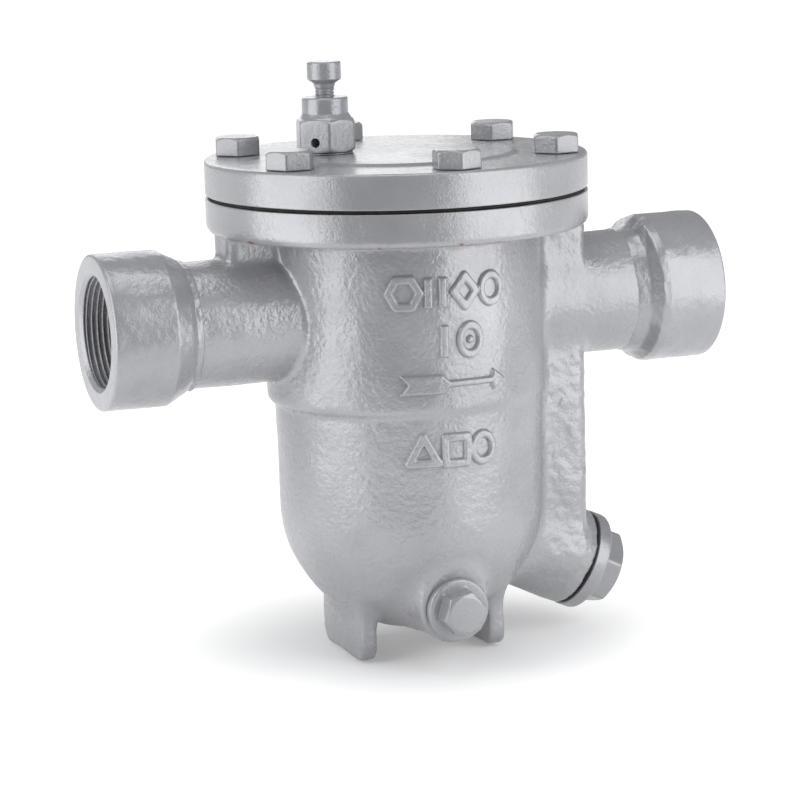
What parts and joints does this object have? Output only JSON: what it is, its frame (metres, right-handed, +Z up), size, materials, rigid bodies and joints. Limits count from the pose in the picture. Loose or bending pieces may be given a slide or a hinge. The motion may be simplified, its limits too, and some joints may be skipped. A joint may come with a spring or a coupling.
{
  "type": "steam trap",
  "caption": "Cast free-float steam trap with screwed pipe sockets, bolted round cover, hand vent valve, orifice plug and drain plug.",
  "frame": {"origin": "midway between the two socket faces, on the surface that the feet rest on", "axes": "+X from the inlet socket to the outlet socket, +Z up, -Y towards the drain plug"},
  "size_m": [0.27, 0.1596, 0.2498],
  "materials": {
    "body_paint": "silver-grey satin paint over a cast surface",
    "cover_paint": "silver-grey satin paint over a turned surface",
    "bolt_paint": "silver-grey satin paint over forged hexagon heads",
    "plug_paint": "silver-grey satin paint over turned plugs",
    "vent_paint": "silver-grey satin paint over a machined valve",
    "gasket": "matt black graphite sheet",
    "copper": "dull copper",
    "bright_steel": "turned and pressed stainless steel"
  },
  "bodies": {
    "trap": {"trap_body": "body_paint", "inlet_socket": "body_paint", "outlet_socket": "body_paint", "cover": "cover_paint", "cover_gasket": "gasket", "cover_bolt_1": "bolt_paint", "cover_bolt_2": "bolt_paint", "cover_bolt_3": "bolt_paint", "cover_bolt_4": "bolt_paint", "cover_bolt_5": "bolt_paint", "cover_bolt_6": "bolt_paint", "vent_valve_body": "vent_paint", "vent_washer": "copper", "seat_plug": "plug_paint", "seat_plug_gasket": "gasket", "orifice_seat": "bright_steel", "orifice_washer": "copper", "drain_plug": "plug_paint", "drain_plug_gasket": "gasket", "float_guard": "bright_steel", "strainer_screen": "bright_steel", "screen_ring": "bright_steel", "air_vent_seat": "bright_steel", "air_vent_cage": "bright_steel"},
    "float": {"float_upper_half": "bright_steel", "float_lower_half": "bright_steel"},
    "vent_ball": {"vent_ball": "bright_steel"},
    "vent_screw": {"vent_screw": "vent_paint"},
    "air_capsule": {"air_vent_capsule": "bright_steel"}
  },
  "joints": [
    {"name": "float_lift", "type": "slide", "parent": "trap", "child": "float", "axis": [0, 0, 1], "range_m": [0, 0.0125]},
    {"name": "vent_ball_lift", "type": "slide", "parent": "trap", "child": "vent_ball", "axis": [0, 0, 1], "range_m": [0, 0.0028]},
    {"name": "vent_screw_turn", "type": "hinge", "parent": "vent_ball", "child": "vent_screw", "pos_m": [-0.0298, 0.01, 0.23], "axis": [0, 0, 1], "range_deg": [0, 720]},
    {"name": "air_capsule_close", "type": "slide", "parent": "trap", "child": "air_capsule", "axis": [0, 0, 1], "range_m": [0, 0.0015]}
  ],
  "couplings": [
    {"joint": "vent_ball_lift", "follows": "vent_screw_turn", "m_per_rad": 0.0001989}
  ]
}
